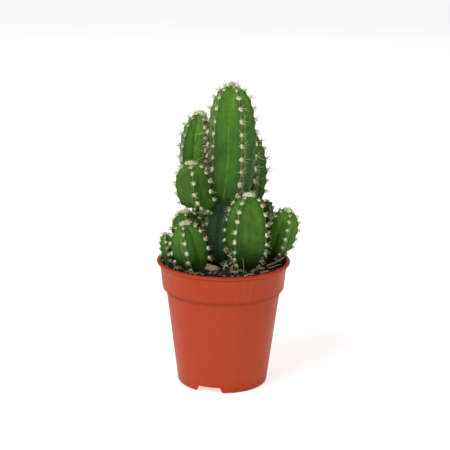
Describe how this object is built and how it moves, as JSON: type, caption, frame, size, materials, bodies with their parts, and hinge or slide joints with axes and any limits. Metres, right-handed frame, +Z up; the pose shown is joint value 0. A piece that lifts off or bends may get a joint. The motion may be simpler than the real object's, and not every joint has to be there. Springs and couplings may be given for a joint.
{
  "type": "potted ribbed column cactus",
  "caption": "Small columnar cactus with ribbed stems and offsets, rooted in peat soil in a round terracotta-coloured plastic nursery pot.",
  "frame": {"origin": "on the surface that the pot stands on, under the middle of the whole plant's box; the pot's own axis is 3.1 mm towards -X from it", "axes": "+Z up along the pot's axis, -Y towards the side shown as the front, +X to its right"},
  "size_m": [0.1108, 0.105, 0.2347],
  "materials": {
    "pot_plastic": "satin moulded, terracotta orange",
    "potting_soil": "loose damp peat",
    "cactus_skin": "waxy skin, satin",
    "areole_wool": "short wool",
    "spine": "hard thin thorn",
    "pebble": "rough",
    "bark": "rough",
    "wood_fibre": "fibrous"
  },
  "bodies": {
    "root": {"nursery_pot": "pot_plastic", "potting_soil": "potting_soil", "main_stem": "cactus_skin", "left_rear_stem": "cactus_skin", "right_rear_stem": "cactus_skin", "left_upper_offset": "cactus_skin", "left_middle_offset": "cactus_skin", "left_front_stem": "cactus_skin", "far_left_offset": "cactus_skin", "right_front_stem": "cactus_skin", "right_small_offset": "cactus_skin", "right_leaning_stem": "cactus_skin", "grey_pebble": "pebble", "bark_chip": "bark", "pale_grit": "pebble", "long_twig": "wood_fibre", "wood_sliver": "wood_fibre"}
  },
  "joints": []
}
